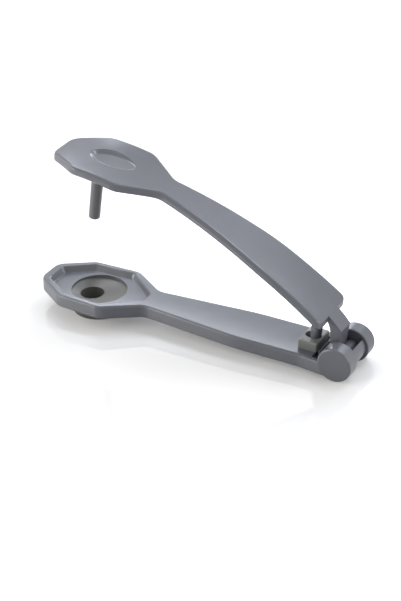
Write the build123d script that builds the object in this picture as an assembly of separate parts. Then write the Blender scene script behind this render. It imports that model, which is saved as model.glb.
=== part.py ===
from build123d import *
import os
from math import ceil, cos, hypot, pi, radians, sin, sqrt

# Cherry pitter: two plastic levers on one hinge. Sizes are in millimetres, angles in degrees.
# The origin is the centre of the stone outlet on the table, +X runs to the hinge, +Z is up.

# Stance: the pitter stands on the seat's foot and on the two hinge ears
lever_slope = 1.9         # fall of the lower lever from the cup to the hinge
head_tilt = 8.8           # slope of the upper head when the levers are open
outlet_offset = 4.5       # outlet axis to cup axis, towards the hinge

# Corners of both heads in plan
tip_round = 8.0
front_round = 9.0
back_round = 8.5
neck_round = 8.5
waist_round = 160.0

# Lower lever, measured from the cup axis
hinge_reach = 144.0       # cup axis to hinge axis
lever_top = 9.2           # rim and handle top above the underside of the ears
lever_bottom = 2.0        # handle underside above the underside of the ears
tip_reach = 31.6          # tip edge
tip_half = 8.2            # half length of the tip edge
front_corner = 13.5       # front pair of wide corners
front_half = 20.5
back_corner = 12.6        # back pair of wide corners
back_half = 21.8
neck_reach = 32.2         # neck corners
neck_half = 8.8
waist_reach = 88.0        # where the handle stops widening
grip_half = 13.8          # half width of the handle beyond the waist
edge_round = 1.3          # top edges
edge_bevel = 0.3          # bottom edges
tray_depth = 3.3
tray_tip_rim = 4.6        # rim width at the tip
tray_side_rim = 3.4       # rim width at the sides
tray_neck_reach = 29.8
tray_neck_half = 3.4
tray_slope = 27.0         # lean of the tray walls
tray_round = 4.0
tray_edge_round = 0.9     # inner edge of the rim
tray_floor_round = 1.2
cup_radius = 15.0         # hole in the tray
lip_thickness = 1.5       # tray floor left over the seat
handle_skin = 2.4
handle_wall = 2.3
rib_thickness = 1.2
rib_count = 4
channel_start = 38.0
channel_setback = 36.0    # end of the channel, from the hinge axis
notch_setback = 13.3      # sunk part in front of the ears, from the hinge axis
notch_half = 12.6
notch_depth = 3.0

# Hinge
ear_radius = 9.2
ear_span = 30.7           # over both ears
clevis_gap = 13.6
ear_round = 1.0
ear_bevel = 0.4           # inner rims
cheek_setback = 20.0      # where the handle starts to widen, from the hinge axis
cheek_run = 13.0
cheek_round = 30.0
pin_radius = 1.6
pin_head_radius = 3.0
pin_head_height = 1.2
pin_blind = 2.4           # plastic left outside the pin in the near ear
pin_fit = 0.02            # pin in the ears, radial
running_fit = 0.06        # knuckle on the pin, radial
knuckle_radius = 3.6
knuckle_side_gap = 0.3
web_radius = 6.0          # inner face of the web behind the knuckle
web_thickness = 1.7
web_top_angle = 42.0      # upper end of the web above the hinge plane
web_end_angle = -118.0
slot_low_angle = -50.0    # relief slots through the web beside each ear
slot_high_angle = -20.0
slot_width = 1.8
cross_wall_setback = 11.7 # front of the thin wall behind the spring seat, from the hinge axis
cross_wall_thickness = 0.8
cross_wall_rise = 1.1     # above the handle top
clevis_floor = 1.6

# Cherry seat with its foot
seat_radius = 16.5
seat_fit = 0.05
foot_radius = 15.0
foot_bevel = 0.8
bowl_depth = 2.0
outlet_radius = 6.5

# Spring seat
socket_wall = 0.8         # flange beyond the pocket's mouth
socket_half = 7.8
socket_height = 4.8       # above the handle's top
socket_round = 0.6
socket_bevel = 0.5
socket_step = 1.1         # flange beyond the body in front
socket_body_half = 4.6
socket_body_fit = 0.15
socket_bottom = 1.2       # above the underside of the ears
pocket_floor = 1.2
pocket_length = 8.7       # mouth, long enough for the post to swing in
pocket_clearance = 0.3    # beside the post
pocket_end_clearance = 0.8
pocket_taper = 2.0        # the pocket's floor is this much shorter than its mouth

# Upper lever, measured in its own frame from the head's reference point
head_setback = 2.0        # head reference behind the cup axis
hinge_down = 58.5         # head reference to hinge, square to the head
upper_tip_reach = 30.0
upper_tip_half = 9.8
upper_front_corner = 11.9
upper_front_half = 20.4
upper_back_corner = 13.5
upper_back_half = 20.8
upper_neck_reach = 32.6
upper_neck_half = 8.5
upper_waist_reach = 92.0
upper_waist_half = 14.7
tail_setback = 10.5       # tail edge ahead of the hinge axis
tail_half = 16.0
tail_rise = 20.6          # tail edge above the hinge axis
tail_round = 3.6
upper_edge_round = 1.8    # top edges
upper_edge_bevel = 0.8    # bottom edges
crown_height = 1.05
crown_centre = -4.2
crown_radius = 130.0
crown_end = 6.0
shell_height = 4.6
shell_skin = 2.4
shell_wall = 2.4
dish_centre = 1.5         # oval thumb dish, deeper on the tip side
dish_half_length = 14.3
dish_half_width = 8.0
dish_wall = 2.9           # width of its S-shaped wall
dish_depth = 1.3
dish_tilt = -1.0
dish_overrun = 0.05       # its curved wall ends this much above the head
tongue_half = 5.3
tongue_back = 2.5         # back of the tongue ahead of the hinge axis
tongue_thickness = 5.2
tongue_inset = 2.0        # its back starts inside the tail
tongue_sink = 0.4         # and this far under the top line
tongue_root = 9.0         # its underside starts inside the tail
tongue_depth = 2.8        # underside of the bend's corner below the top line
tongue_crease = 13.9      # crease at the top of its back, above the hinge axis
tongue_bend = 17.0        # underside
boss_radius = 5.6
boss_drop = 7.5
upper_rib_count = 5
spine_overrun = 5.0       # side view drawn past the outline at both ends
post_setback = 17.3       # post ahead of the hinge axis
post_radius = 2.9
post_bevel = 0.4
post_entry = 0.8          # post in the mouth of the pocket when open

# Plunger
plunger_reach = -7.5
plunger_root_radius = 3.2
plunger_tip_radius = 3.0
plunger_tip_bevel = 0.5
plunger_top = 1.2         # under the head's reference plane
plunger_bottom = 36.8
plunger_fit = 0.02
plunger_dish_radius = 1.8
plunger_dish_depth = 0.6

# Return spring
wire_radius = 0.25
wire_sides = 8
coil_radius = 1.95
coil_turns = 4
spring_end_gap = 0.1

# Values that follow from the ones above
slope = radians(lever_slope)
stance_height = ear_radius * (1 - cos(slope)) + hinge_reach * sin(slope)
lower_place = Location((outlet_offset, 0, stance_height), (0, lever_slope, 0))
hinge_point = lower_place * Location((hinge_reach, 0, ear_radius))
hinge_along = hinge_reach - head_setback
tail_reach = hinge_along - tail_setback
tail_drop = hinge_down - tail_rise
post_reach = hinge_along - post_setback
upper_place = (Location(hinge_point.position) * Location((0, 0, 0), (0, head_tilt, 0))
               * Location((-hinge_along, 0, hinge_down)))
tray_floor = lever_top - tray_depth
seat_top = tray_floor - lip_thickness
opening = radians(head_tilt - lever_slope)
post_end = lever_top + socket_height - post_entry
post_bottom = hinge_down + ((hinge_along - post_reach) * sin(opening)
                            - (post_end - ear_radius)) / cos(opening)
ear_half = ear_span / 2
gap_half = clevis_gap / 2
notch_start = hinge_reach - notch_setback
cross_wall_front = hinge_reach - cross_wall_setback
cross_wall_back = cross_wall_front + cross_wall_thickness
pocket_back = hinge_reach - post_setback + post_radius + pocket_end_clearance
pocket_front = pocket_back - pocket_length
socket_front = pocket_front - socket_wall
socket_back = pocket_back + socket_wall
pin_bore = pin_radius + pin_fit
big = 200.0


def mirrored(points):
    """A closed face from the points of its +Y side, listed from the tip to the hinge."""
    return make_face(Polyline(*points, *[(x, -y) for x, y in reversed(points)], close=True))


def corners_at(sketch, places):
    """The vertices of a sketch that lie at the given points or their mirror points."""
    return [v for v in sketch.vertices()
            if any(hypot(v.X - x, abs(v.Y) - y) < 0.01 for x, y in places)]


def lever_outline(head, waist, tail):
    """Plan of a lever: eight-sided head from tip to neck, and the widening handle."""
    sketch = mirrored([*head, waist, *tail])
    for corner, radius in zip(head, (tip_round, front_round, back_round, neck_round)):
        sketch = fillet(corners_at(sketch, [corner]), radius)
    return fillet(corners_at(sketch, [waist]), waist_round)


def y_cylinder(radius, low_y, high_y, x, z):
    """A cylinder along Y between two Y values."""
    length = high_y - low_y
    return Pos(x, (low_y + high_y) / 2, z) * Rot(90, 0, 0) * Cylinder(radius, length)


def block(low, high):
    """A box from its lowest and highest corners."""
    size = [b - a for a, b in zip(low, high)]
    middle = [(a + b) / 2 for a, b in zip(low, high)]
    return Pos(*middle) * Box(*size)


def lower_body():
    """Rim, tray and handle of the lower lever as one slab, with soft top edges."""
    head = [(-tip_reach, tip_half), (-front_corner, front_half), (back_corner, back_half),
            (neck_reach, neck_half)]
    cheek_start = hinge_reach - cheek_setback
    cheeks = [(cheek_start, grip_half), (cheek_start + cheek_run, ear_half)]
    outline = lever_outline(head, (waist_reach, grip_half), [*cheeks, (hinge_reach, ear_half)])
    outline = fillet(corners_at(outline, cheeks), cheek_round)
    slab = extrude(Pos(0, 0, lever_bottom) * outline, lever_top - lever_bottom)
    top = [e for e in slab.faces().sort_by(Axis.Z)[-1].edges()
           if e.center().X < hinge_reach - 1]
    slab = fillet(top, edge_round)
    bottom = [e for e in slab.faces().sort_by(Axis.Z)[0].edges()
              if e.center().X < hinge_reach - 1]
    return chamfer(bottom, edge_bevel)


def tray_cut():
    """The tray's hollow with leaning walls."""
    tip = (-tip_reach + tray_tip_rim, tip_half - tray_tip_rim / 3)
    front = (-front_corner + tray_side_rim / 3, front_half - tray_side_rim)
    back = (back_corner - tray_side_rim / 3, back_half - tray_side_rim)
    neck = (tray_neck_reach, tray_neck_half)
    sketch = mirrored([tip, front, back, neck])
    sketch = fillet(sketch.vertices(), tray_round)
    hollow = extrude(Pos(0, 0, lever_top) * sketch, -tray_depth, taper=tray_slope)
    return fillet(hollow.faces().sort_by(Axis.Z)[0].edges(), tray_floor_round)


def handle_channel():
    """Hollow under the handle, crossed by ribs."""
    start_half = neck_half - handle_wall
    end_half = grip_half - handle_wall
    channel_end = hinge_reach - channel_setback
    plan = mirrored([(channel_start, start_half), (waist_reach, end_half), (channel_end, end_half)])
    depth = lever_top - handle_skin - lever_bottom
    hollow = extrude(Pos(0, 0, lever_bottom) * plan, depth)
    pitch = (channel_end - channel_start) / (rib_count + 1)
    for i in range(rib_count):
        x = channel_start + pitch * (i + 1)
        hollow -= block((x - rib_thickness / 2, -big, 0), (x + rib_thickness / 2, big, lever_top))
    return hollow


def ears():
    """The two hinge ears with rounded rims."""
    both = []
    for low, high in ((gap_half, ear_half), (-ear_half, -gap_half)):
        ear = y_cylinder(ear_radius, low, high, hinge_reach, ear_radius)
        rims = ear.edges().filter_by(GeomType.CIRCLE).sort_by(lambda e: abs(e.center().Y))
        ear = chamfer(rims[0], ear_bevel)
        rims = ear.edges().filter_by(GeomType.CIRCLE).sort_by(lambda e: abs(e.center().Y))
        both.append(fillet(rims[-1], ear_round))
    return both


def web():
    """Curved wall that joins the ears behind and under the knuckle, with its two relief slots."""
    middle = (hinge_reach, 0, ear_radius)
    ring = y_cylinder(web_radius + web_thickness, -gap_half - 1, gap_half + 1,
                      hinge_reach, ear_radius)
    sector = make_face(Polyline(
        (0, 0), *[(big * cos(radians(a)), big * sin(radians(a)))
                  for a in (web_top_angle, 0, web_end_angle / 2, web_end_angle)], close=True))
    keep = extrude(Plane(middle, x_dir=(1, 0, 0), z_dir=(0, -1, 0)) * sector, big, both=True)
    wall = ring & keep
    floor = block((cross_wall_front, -gap_half - 1, clevis_floor),
                  (hinge_reach, gap_half + 1, clevis_floor + web_thickness))
    wall += floor
    wall += block((cross_wall_front, -gap_half - 1, clevis_floor),
                  (cross_wall_back, gap_half + 1, lever_top + cross_wall_rise))
    slot = make_face(Polyline(
        (0, 0), *[(big * cos(radians(a)), big * sin(radians(a)))
                  for a in (slot_high_angle, slot_low_angle)], close=True))
    cut = extrude(Plane(middle, x_dir=(1, 0, 0), z_dir=(0, -1, 0)) * slot, slot_width)
    wall -= Pos(0, -gap_half + slot_width, 0) * cut
    wall -= Pos(0, gap_half, 0) * cut
    return wall


def make_lower_lever():
    body = lower_body() - tray_cut()
    rim = [e for e in body.faces().sort_by(Axis.Z)[-1].inner_wires()[0].edges()]
    body = fillet(rim, tray_edge_round)
    body -= Pos(0, 0, tray_floor) * Cylinder(cup_radius, big)
    body -= Pos(0, 0, seat_top) * Cylinder(
        seat_radius + seat_fit, big, align=(Align.CENTER, Align.CENTER, Align.MAX))
    body -= handle_channel()
    body -= block((notch_start, -notch_half, lever_top - notch_depth),
                  (hinge_reach - ear_radius / 2, notch_half, big))
    body -= block((cross_wall_back, -gap_half, -big), (big, gap_half, big))
    for ear in ears():
        body += ear
    body += web()
    hole_half = socket_body_half + socket_body_fit
    body -= block((socket_front + socket_step - socket_body_fit, -hole_half, -big),
                  (socket_back + socket_body_fit, hole_half, big))
    body -= y_cylinder(web_radius, -gap_half, gap_half, hinge_reach, ear_radius)
    body -= y_cylinder(pin_bore, -ear_half + pin_blind, ear_half, hinge_reach, ear_radius)
    body -= y_cylinder(pin_head_radius + pin_fit, ear_half - pin_head_height, big,
                       hinge_reach, ear_radius)
    return body


def make_cherry_seat():
    """Bowl under the cup with the foot and the stone outlet, in the standing frame."""
    sole = -stance_height / cos(slope)
    profile = make_face(Polyline(
        (0, seat_top), (seat_radius, seat_top), (seat_radius, lever_bottom),
        (foot_radius, sole + foot_bevel), (foot_radius - foot_bevel, sole - foot_bevel),
        (0, sole - foot_bevel), close=True))
    seat = lower_place * revolve(Plane.XZ * profile, Axis.Z)
    seat -= block((-big, -big, -big), (big, big, 0))
    cup_axis = lower_place * Location((0, 0, seat_top))
    rim = cup_axis * Circle(cup_radius)
    mouth = Pos(0, 0, cup_axis.position.Z - bowl_depth) * Circle(outlet_radius)
    seat -= loft([rim, mouth])
    return seat - Cylinder(outlet_radius, big)


def pocket():
    """Hollow for the spring and the swinging post: a long mouth that narrows downwards."""
    half = post_radius + pocket_clearance
    top = lever_top + socket_height
    middle = (pocket_front + pocket_back) / 2
    mouth = Pos(middle, 0, top) * SlotOverall(pocket_back - pocket_front, 2 * half)
    low_x = pocket_back - (pocket_length - pocket_taper) / 2
    throat_z = socket_bottom + pocket_floor
    throat = Pos(low_x, 0, throat_z) * SlotOverall(pocket_length - pocket_taper, 2 * half)
    return loft([throat, mouth])


def make_spring_seat():
    """Block that carries the return spring: a flange on the panel and a body through it."""
    flange = block((socket_front, -socket_half, lever_top),
                   (socket_back, socket_half, lever_top + socket_height))
    flange = fillet(flange.edges().filter_by(Axis.Z), socket_round)
    flange = chamfer(flange.faces().sort_by(Axis.Z)[-1].edges(), socket_bevel)
    body = block((socket_front + socket_step, -socket_body_half, socket_bottom),
                 (socket_back, socket_body_half, lever_top))
    return lower_place * (flange + body - pocket())


def make_hinge_pin():
    head_face = ear_half
    shank = y_cylinder(pin_radius, -ear_half + pin_blind + pin_fit, head_face, hinge_reach, ear_radius)
    head = y_cylinder(pin_head_radius, head_face - pin_head_height, head_face,
                      hinge_reach, ear_radius)
    return lower_place * (shank + head)


def crown_z(x):
    """Height of the head's crowned top."""
    return crown_height - (crown_radius - sqrt(crown_radius ** 2 - (x - crown_centre) ** 2))


def spine_line():
    """Top line of the upper lever in side view, drawn past the outline at both ends."""
    start_x = -upper_tip_reach - spine_overrun
    middle_x = (start_x + crown_end) / 2
    joint = (crown_end, crown_z(crown_end))
    crown = ThreePointArc((start_x, crown_z(start_x)), (middle_x, crown_z(middle_x)), joint)
    run = TangentArc(joint, (tail_reach, -tail_drop), tangent=crown % 1)
    return crown + run + Line(run @ 1, run @ 1 + (run % 1) * spine_overrun)


def spine_face(depth_top, depth_bottom):
    """Side view of a layer of the upper lever between two depths under its top line."""
    line = spine_line()
    upper = Pos(0, -depth_top) * line
    lower = Pos(0, -depth_bottom) * line
    ends = [Line(upper @ 0, lower @ 0), Line(upper @ 1, lower @ 1)]
    return make_face(upper.edges() + lower.edges() + ends)


def spine_slab(depth_top, depth_bottom):
    """That layer drawn out to both sides."""
    return extrude(Plane.XZ * spine_face(depth_top, depth_bottom), big, both=True)


def layer_edges(slab, side):
    """Edges round the upper (side 1) or lower (side -1) surface of a spine layer."""
    joint_line = [e for e in slab.edges() if abs(e.center().X - crown_end) < 0.1
                  and abs(e.center().Y) < 0.1]
    faces = [f for f in slab.faces() if f.normal_at().Z * side > 0.7]
    return [e for f in faces for e in f.edges() if not any(e.is_same(j) for j in joint_line)]


def upper_outline():
    head = [(-upper_tip_reach, upper_tip_half), (-upper_front_corner, upper_front_half),
            (upper_back_corner, upper_back_half), (upper_neck_reach, upper_neck_half)]
    waist = (upper_waist_reach, upper_waist_half)
    outline = lever_outline(head, waist, [(tail_reach, tail_half)])
    return fillet(corners_at(outline, [(tail_reach, tail_half)]), tail_round)


def upper_shell():
    """Crowned head and arched handle, hollow underneath and crossed by ribs."""
    outline = upper_outline()
    slab = spine_slab(0, shell_height) & extrude(outline, big, both=True)
    slab = fillet(layer_edges(slab, 1), upper_edge_round)
    slab = chamfer(layer_edges(slab, -1), upper_edge_bevel)
    hollow = spine_slab(shell_skin, shell_height + 1)
    hollow &= extrude(offset(outline, -shell_wall), big, both=True)
    pitch = (post_reach - upper_neck_reach) / (upper_rib_count + 1)
    for i in range(upper_rib_count):
        x = upper_neck_reach + pitch * (i + 1)
        hollow -= block((x - rib_thickness / 2, -big, -big), (x + rib_thickness / 2, big, big))
    return slab - hollow


def dish():
    """What the oval thumb dish takes out of the head: a flat floor and an S-shaped wall."""
    rings = []
    for run, fall in ((1, 1), (0.8, 0.88), (0.5, 0.5), (0.2, 0.12), (0, 0)):
        ring = Ellipse(dish_half_length - run * dish_wall, dish_half_width - run * dish_wall)
        rings.append(Pos(0, 0, dish_overrun - fall * (dish_depth + dish_overrun)) * ring)
    place = Location((dish_centre, 0, crown_z(dish_centre)), (0, dish_tilt, 0))
    return place * (loft(rings) + extrude(rings[-1], dish_depth))


def tongue():
    """Hooked arm that drops from the tail to the knuckle on the pin."""
    fall = spine_line() % 1
    slope_down = -fall.Y / fall.X

    def line_z(x):
        return -tail_drop - (x - tail_reach) * slope_down

    back = hinge_along - tongue_back
    front = back - tongue_thickness
    crest = (tail_reach - tongue_inset, line_z(tail_reach - tongue_inset) - tongue_sink)
    root = tail_reach - tongue_root
    crease = (back, -hinge_down + tongue_crease)
    bend = TangentArc(crest, crease, tangent=fall)
    outer = bend + Line(crease, (back, -hinge_down))
    inner = FilletPolyline((front, -hinge_down + knuckle_radius), (front, line_z(front) - tongue_depth),
                           (root, line_z(root) - shell_skin / 2), radius=tongue_bend)
    under = hinge_along - knuckle_radius * sqrt(0.5)
    foot = Polyline(outer @ 1, (under, -hinge_down - knuckle_radius * sqrt(0.5)), inner @ 0)
    face = make_face(outer.edges() + inner.edges() + foot.edges() + [Line(inner @ 1, outer @ 0)])
    return extrude(Plane.XZ * face, tongue_half, both=True)


def make_upper_lever():
    """Shell with the dish, plunger boss, spring post, tongue and knuckle."""
    body = upper_shell()
    under_skin = spine_slab(shell_skin / 2, big)
    boss = Pos(plunger_reach, 0, -boss_drop) * Cylinder(
        boss_radius, boss_drop, align=(Align.CENTER, Align.CENTER, Align.MIN))
    body += boss & under_skin
    body -= dish()
    post = Pos(post_reach, 0, -post_bottom) * Cylinder(
        post_radius, post_bottom, align=(Align.CENTER, Align.CENTER, Align.MIN))
    post = chamfer(post.faces().sort_by(Axis.Z)[0].edges(), post_bevel)
    body += post & under_skin
    body += tongue()
    knuckle_half = gap_half - knuckle_side_gap
    body += y_cylinder(knuckle_radius, -knuckle_half, knuckle_half, hinge_along, -hinge_down)
    body -= y_cylinder(pin_radius + running_fit, -gap_half, gap_half, hinge_along, -hinge_down)
    body -= Pos(plunger_reach, 0, -plunger_top) * Cylinder(
        plunger_root_radius + plunger_fit, big, align=(Align.CENTER, Align.CENTER, Align.MAX))
    return upper_place * body


def make_plunger():
    """Tapered rod with a bevelled, slightly dished tip."""
    profile = make_face(Polyline(
        (0, -plunger_top), (plunger_root_radius, -plunger_top), (plunger_root_radius, -boss_drop),
        (plunger_tip_radius, -plunger_bottom), (0, -plunger_bottom), close=True))
    rod = revolve(Plane.XZ * profile, Axis.Z)
    rod = chamfer(rod.faces().sort_by(Axis.Z)[0].edges(), plunger_tip_bevel)
    rod -= Pos(0, 0, -plunger_bottom + plunger_dish_depth / 2) * Cone(
        plunger_dish_radius, plunger_dish_radius / 2, plunger_dish_depth)
    return upper_place * Pos(plunger_reach, 0, 0) * rod


def helix_point(quarter, pitch):
    """Point and direction on the spring's centre line after a number of quarter turns."""
    angle = quarter * pi / 2
    point = Vector(coil_radius * cos(angle), coil_radius * sin(angle), quarter * pitch / 4)
    along = Vector(-coil_radius * sin(angle), coil_radius * cos(angle), pitch / (2 * pi))
    return point, along.normalized()


def biarc(start, start_along, end, end_along):
    """Two arcs that leave and arrive along the given directions."""
    chord = end - start
    both = chord.dot(start_along + end_along)
    spread = 2 * (1 - start_along.dot(end_along))
    reach = (sqrt(both ** 2 + spread * chord.dot(chord)) - both) / spread
    first_handle = start + start_along * reach
    last_handle = end - end_along * reach
    middle = (first_handle + last_handle) * 0.5
    return [TangentArc(start, middle, tangent=start_along),
            TangentArc(middle, end, tangent=last_handle - first_handle)]


def make_return_spring():
    """Compression spring between the pocket's floor and the post."""
    bottom = socket_bottom + pocket_floor
    lean = (coil_radius + wire_radius) * sin(opening)
    lift = post_end - lean - bottom - 2 * wire_radius - 2 * spring_end_gap
    pitch = lift / coil_turns
    quarters = coil_turns * 4
    stations = [helix_point(i, pitch) for i in range(quarters + 1)]
    first, first_along = stations[0]
    last, last_along = stations[-1]
    lead = 2 * wire_radius
    edges = [Line(first - first_along * lead, first)]
    for (a, along_a), (b, along_b) in zip(stations, stations[1:]):
        edges += biarc(a, along_a, b, along_b)
    edges.append(Line(last, last + last_along * lead))
    path = Wire([e for part in edges for e in part.edges()])
    section = Plane(origin=first - first_along * lead, z_dir=first_along)
    section *= RegularPolygon(wire_radius, wire_sides)
    coil = sweep(section, path=path)
    samples = [path.position_at(i / 400) for i in range(401)]
    step = path.length / 400
    apart = ceil(pi * coil_radius / step)
    gap = min((a - b).length for i, a in enumerate(samples) for b in samples[i + apart:])
    print(f"return spring: least gap between its turns {gap - 2 * wire_radius:.2f} mm")
    centre = hinge_reach - post_setback + pocket_clearance
    height = bottom + wire_radius + spring_end_gap
    return lower_place * Pos(centre, 0, height) * coil


if __name__ == "__main__":
    os.makedirs("parts", exist_ok=True)
    pieces = {
        "lower_lever": lower_place * make_lower_lever(),
        "cherry_seat": make_cherry_seat(),
        "spring_seat": make_spring_seat(),
        "return_spring": make_return_spring(),
        "hinge_pin": make_hinge_pin(),
        "upper_lever": make_upper_lever(),
        "plunger": make_plunger(),
    }
    for name, shape in pieces.items():
        export_step(shape, f"parts/{name}.step")
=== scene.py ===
from math import cos, pi, radians, sin

import bmesh
import bpy
from mathutils import Matrix, Vector


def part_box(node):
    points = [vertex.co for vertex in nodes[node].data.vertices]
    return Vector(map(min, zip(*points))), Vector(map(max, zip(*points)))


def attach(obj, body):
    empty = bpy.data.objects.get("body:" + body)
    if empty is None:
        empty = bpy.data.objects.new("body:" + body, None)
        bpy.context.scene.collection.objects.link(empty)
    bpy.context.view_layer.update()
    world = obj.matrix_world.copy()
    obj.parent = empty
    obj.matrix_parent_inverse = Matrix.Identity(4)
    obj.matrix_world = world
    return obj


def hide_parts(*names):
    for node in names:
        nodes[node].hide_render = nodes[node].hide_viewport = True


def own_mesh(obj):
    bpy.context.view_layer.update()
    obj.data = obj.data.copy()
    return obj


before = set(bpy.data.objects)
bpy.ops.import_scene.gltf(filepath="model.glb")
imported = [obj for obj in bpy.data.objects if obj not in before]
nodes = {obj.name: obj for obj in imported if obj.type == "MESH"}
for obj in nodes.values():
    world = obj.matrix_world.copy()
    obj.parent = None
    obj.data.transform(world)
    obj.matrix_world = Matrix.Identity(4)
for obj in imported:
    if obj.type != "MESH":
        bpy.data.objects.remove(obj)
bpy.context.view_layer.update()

# The lower lever's own frame, in which the camera was fitted
lever_slope = radians(1.9)
lever_origin = Vector((0.0045, 0, 0.004779))


# Materials. Noise scales are per metre, and heights are in metres

wave_height = 0.00008
grain_height = 0.0000012
line_height = 0.000006
noise_low, noise_high = 0.3, 0.7  # nearly all of a noise texture's values


def add_node(tree, kind, inputs, **settings):
    """New shader node. Each input takes a value or another node's output."""
    node = tree.nodes.new("ShaderNode" + kind)
    for name, value in settings.items():
        setattr(node, name, value)
    for name, value in inputs.items():
        if isinstance(value, bpy.types.NodeSocket):
            tree.links.new(value, node.inputs[name])
        else:
            node.inputs[name].default_value = value
    return node


def new_material(name):
    material = bpy.data.materials.new(name)
    material.use_nodes = True
    tree = material.node_tree
    return material, tree, tree.nodes["Principled BSDF"]


def place_in(tree, output):
    return add_node(tree, "TexCoord", {}).outputs[output]


def noise(tree, scale, detail, stretch=None):
    """Noise in object space; stretch draws it out along an axis."""
    source = place_in(tree, "Object")
    if stretch:
        source = add_node(tree, "Mapping", {"Vector": source, "Scale": stretch}).outputs["Vector"]
    texture = add_node(tree, "TexNoise", {"Vector": source, "Scale": scale, "Detail": detail})
    return texture.outputs["Fac"]


def spread(tree, value, low, high):
    """Maps a noise value onto the range from low to high."""
    return add_node(tree, "MapRange", {
        "Value": value, "From Min": noise_low, "From Max": noise_high,
        "To Min": low, "To Max": high}).outputs["Result"]


def blend_colours(tree, value, first, second):
    """Colour that a noise value blends from the first to the second."""
    return add_node(tree, "Mix", {
        "Factor": spread(tree, value, 0.0, 1.0), "A": (*first, 1), "B": (*second, 1)},
        data_type="RGBA").outputs["Result"]


def combine(tree, operation, first, second):
    return add_node(tree, "Math", {0: first, 1: second}, operation=operation).outputs["Value"]


def bump(tree, shader, *layers):
    """Stacks bumps, each given as (value, height in metres where the value is 1)."""
    below = {}
    for value, height in layers:
        node = add_node(tree, "Bump", {
            "Height": value, "Strength": 1.0, "Distance": height, **below})
        below = {"Normal": node.outputs["Normal"]}
    tree.links.new(below["Normal"], shader.inputs["Normal"])


def middle_distance_squared(tree):
    """Square of the distance from the tool's middle plane."""
    split = add_node(tree, "SeparateXYZ", {"Vector": place_in(tree, "Object")})
    return combine(tree, "MULTIPLY", split.outputs["Y"], split.outputs["Y"])


def moulded_plastic(name, colour, cloud_colour, roughness, sink=0.0):
    """Satin moulded plastic: faint clouding, uneven gloss, slow waves and fine grain.

    A sink shades broad faces as if they were slightly sunk across the tool. It is their
    tilt in radians per metre from the middle plane."""
    material, tree, shader = new_material(name)
    shinier, duller = 0.02, 0.03
    clouds = noise(tree, scale=60.0, detail=4.0)
    patches = noise(tree, scale=180.0, detail=3.0)
    waves = noise(tree, scale=45.0, detail=1.0)
    grain = noise(tree, scale=1500.0, detail=0.0)
    tree.links.new(blend_colours(tree, clouds, colour, cloud_colour), shader.inputs["Base Color"])
    tree.links.new(spread(tree, patches, roughness - shinier, roughness + duller),
                   shader.inputs["Roughness"])
    shader.inputs["IOR"].default_value = 1.5
    layers = [(waves, wave_height), (grain, grain_height)]
    if sink:
        layers.append((middle_distance_squared(tree), sink / 2))
    bump(tree, shader, *layers)
    return material


def drawn_steel(name, colour, roughness, stretch):
    """Steel with fine drawing lines along one axis."""
    material, tree, shader = new_material(name)
    shinier, duller = 0.06, 0.08
    lines = noise(tree, 900.0, 4.0, stretch)
    darker = [0.82 * level for level in colour]
    tree.links.new(blend_colours(tree, lines, darker, colour), shader.inputs["Base Color"])
    tree.links.new(spread(tree, lines, roughness - shinier, roughness + duller),
                   shader.inputs["Roughness"])
    shader.inputs["Metallic"].default_value = 1.0
    bump(tree, shader, (lines, line_height))
    return material


def give(material, *names):
    for name in names:
        for slot in nodes[name].material_slots:
            slot.material = material


give(moulded_plastic("grey_satin", (0.118, 0.125, 0.146), (0.126, 0.133, 0.154), 0.22, sink=5.0),
     "lower_lever", "upper_lever")
give(moulded_plastic("plunger_satin", (0.108, 0.111, 0.120), (0.119, 0.122, 0.131), 0.36),
     "plunger")
give(moulded_plastic("seat_satin", (0.085, 0.084, 0.074), (0.096, 0.094, 0.083), 0.42),
     "cherry_seat")
give(moulded_plastic("block_satin", (0.190, 0.196, 0.190), (0.205, 0.211, 0.205), 0.24),
     "spring_seat")
give(drawn_steel("pin_steel", (0.58, 0.58, 0.59), 0.28, stretch=(1.0, 0.1, 1.0)), "hinge_pin")
spring_wire = drawn_steel("spring_wire", (0.55, 0.55, 0.56), 0.30, stretch=(1.0, 1.0, 0.15))


# Return spring: the plain coil's place is taken by one with closed ends

def add_object(name, data):
    thing = bpy.data.objects.new(name, data)
    bpy.context.scene.collection.objects.link(thing)
    return thing


def make_coil(name, node, coil_radius, wire_radius, turns):
    """Compression spring in the place of a node, square to the lower lever."""
    low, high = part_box(node)
    axis = Vector((sin(lever_slope), 0, cos(lever_slope)))
    side = Vector((cos(lever_slope), 0, -sin(lever_slope)))
    across = Vector((0, 1, 0))
    lean = 2 * coil_radius * sin(lever_slope)
    length = (high.z - low.z - lean) / cos(lever_slope) - 2 * wire_radius
    start = (low + high) / 2 - axis * length / 2
    closed_pitch = 2.1 * wire_radius
    open_pitch = (length - 2 * closed_pitch) / (turns - 2)
    steps, sides = 32, 12
    mesh = bmesh.new()
    rings = []
    for i in range(turns * steps + 1):
        turn = i / steps
        closed_turns = min(turn, 1) + max(turn - turns + 1, 0)
        rise = closed_pitch * closed_turns + open_pitch * (turn - closed_turns)
        outward = side * cos(2 * pi * turn) + across * sin(2 * pi * turn)
        centre = start + axis * rise + outward * coil_radius
        around = [2 * pi * j / sides for j in range(sides)]
        rings.append([
            mesh.verts.new(centre + (outward * cos(a) + axis * sin(a)) * wire_radius)
            for a in around])
    for ring, following in zip(rings, rings[1:]):
        for j in range(sides):
            k = (j + 1) % sides
            mesh.faces.new((ring[j], ring[k], following[k], following[j]))
    mesh.faces.new(rings[0])
    mesh.faces.new(rings[-1])
    bmesh.ops.recalc_face_normals(mesh, faces=mesh.faces)
    data = bpy.data.meshes.new(name)
    mesh.to_mesh(data)
    mesh.free()
    data.polygons.foreach_set("use_smooth", [True] * len(data.polygons))
    data.materials.append(spring_wire)
    coil = add_object(name, data)
    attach(coil, "lower")
    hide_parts(node)
    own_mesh(coil)


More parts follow.
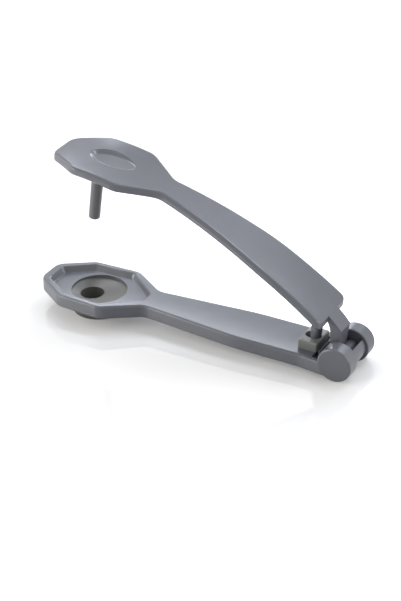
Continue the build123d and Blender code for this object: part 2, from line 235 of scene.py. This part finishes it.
make_coil("spring_coil", "return_spring",
          coil_radius=0.00195, wire_radius=0.00025, turns=6)


# Camera

def make_camera():
    """Camera from the fit to the photograph. The sensor spans the photograph's height."""
    azimuth, elevation, roll = radians(28.246), radians(30.465), radians(0.106)
    place_by_lever = Vector((0.43013, -0.68655, 0.47419))
    focal_pixels, photo_height = 1746.42, 601
    back = Vector((sin(azimuth) * cos(elevation),
                   -cos(azimuth) * cos(elevation),
                   sin(elevation)))
    right = Vector((cos(azimuth), sin(azimuth), 0))
    up = back.cross(right)
    turned_right = cos(roll) * right + sin(roll) * up
    turned_up = -sin(roll) * right + cos(roll) * up
    lever = Matrix.Rotation(lever_slope, 3, "Y")
    place = lever @ place_by_lever + lever_origin
    axes = Matrix((lever @ turned_right, lever @ turned_up, lever @ back)).transposed()
    data = bpy.data.cameras.new("camera")
    data.sensor_width = 36.0
    data.lens = focal_pixels * data.sensor_width / photo_height
    data.clip_start = 0.05
    data.clip_end = 20.0
    camera = add_object("camera", data)
    camera.matrix_world = Matrix.Translation(place) @ axes.to_4x4()
    bpy.context.scene.camera = camera


make_camera()


# Floor, world and lamps

def make_floor(half=4.0, level=0.75, roughness=0.05, ior=1.9, glow=0.17):
    """Pale glossy floor, with a glow that only the camera sees, so that it shows white
    away from the shadow."""
    mesh = bpy.data.meshes.new("floor")
    mesh.from_pydata([(-half, -half, 0), (half, -half, 0), (half, half, 0), (-half, half, 0)],
                     [], [(0, 1, 2, 3)])
    floor = add_object("floor", mesh)
    material, tree, shader = new_material("floor_white")
    shader.inputs["Base Color"].default_value = (level, level, level, 1)
    shader.inputs["Roughness"].default_value = roughness
    shader.inputs["IOR"].default_value = ior
    path = add_node(tree, "LightPath", {})
    share = add_node(tree, "Math", {0: path.outputs["Is Camera Ray"], 1: glow},
                     operation="MULTIPLY")
    emission = add_node(tree, "Emission", {
        "Color": (1, 1, 1, 1), "Strength": share.outputs["Value"]})
    both = add_node(tree, "AddShader", {
        0: shader.outputs["BSDF"], 1: emission.outputs["Emission"]})
    tree.links.new(both.outputs["Shader"], tree.nodes["Material Output"].inputs["Surface"])
    mesh.materials.append(material)


def facing(tree, direction, low, high):
    """Level that rises smoothly from low to high towards one side of the room."""
    edge = 0.9
    towards = add_node(tree, "VectorMath", {
        0: place_in(tree, "Generated"), 1: Vector(direction).normalized()},
        operation="DOT_PRODUCT")
    return add_node(tree, "MapRange", {
        "Value": towards.outputs["Value"], "From Min": -edge, "From Max": edge,
        "To Min": low, "To Max": high}, interpolation_type="SMOOTHSTEP").outputs["Result"]


def make_world():
    """White to the camera and in mirrors. For the light, a room brighter behind and above."""
    world = bpy.data.worlds.new("studio")
    bpy.context.scene.world = world
    world.use_nodes = True
    tree = world.node_tree
    rays = add_node(tree, "LightPath", {}).outputs
    white = combine(tree, "MAXIMUM", rays["Is Camera Ray"], rays["Is Transmission Ray"])
    white = combine(tree, "MAXIMUM", white, rays["Is Glossy Ray"])
    behind = facing(tree, (-0.3, 0.95, 0.0), 0.12, 0.53)
    above = facing(tree, (0.0, 0.0, 1.0), 0.0, 0.19)
    room = combine(tree, "ADD", behind, above)
    shown = add_node(tree, "Mix", {"Factor": white, "A": room, "B": 1.0})
    background = tree.nodes["Background"]
    background.inputs["Color"].default_value = (1, 1, 1, 1)
    tree.links.new(shown.outputs["Result"], background.inputs["Strength"])


def make_lamp(name, place, size, power, colour, aim=(0.06, 0, 0.03)):
    """Area lamp aimed at the tool; its size in metres and its power in watts."""
    data = bpy.data.lights.new(name, "AREA")
    data.shape = "RECTANGLE"
    data.size, data.size_y = size
    data.energy = power
    data.color = colour
    lamp = add_object(name, data)
    direction = Vector(aim) - Vector(place)
    lamp.rotation_euler = direction.to_track_quat("-Z", "Y").to_euler()
    lamp.location = place


cool = (0.92, 0.97, 1.09)
warm = (1.03, 1.0, 0.95)

make_floor()
make_world()
make_lamp("key", (-0.50, 0.58, 0.97), (0.50, 0.40), 4.0, cool)
make_lamp("second", (0.40, 0.60, 1.05), (0.50, 0.40), 3.5, cool)
make_lamp("back_right", (0.20, 1.00, 0.70), (0.60, 0.60), 0.6, cool)
make_lamp("low_back", (0.00, 0.40, 0.18), (0.46, 0.12), 0.66, cool, aim=(0.06, 0, 0.01))
make_lamp("left", (-1.10, -0.25, 0.55), (0.90, 0.70), 4.0, warm)
make_lamp("front_left", (-0.80, -0.80, 0.40), (0.60, 0.60), 8.0, warm)
make_lamp("right", (1.10, 0.30, 0.50), (0.60, 0.60), 6.0, warm)

bpy.context.scene.view_settings.view_transform = "Standard"
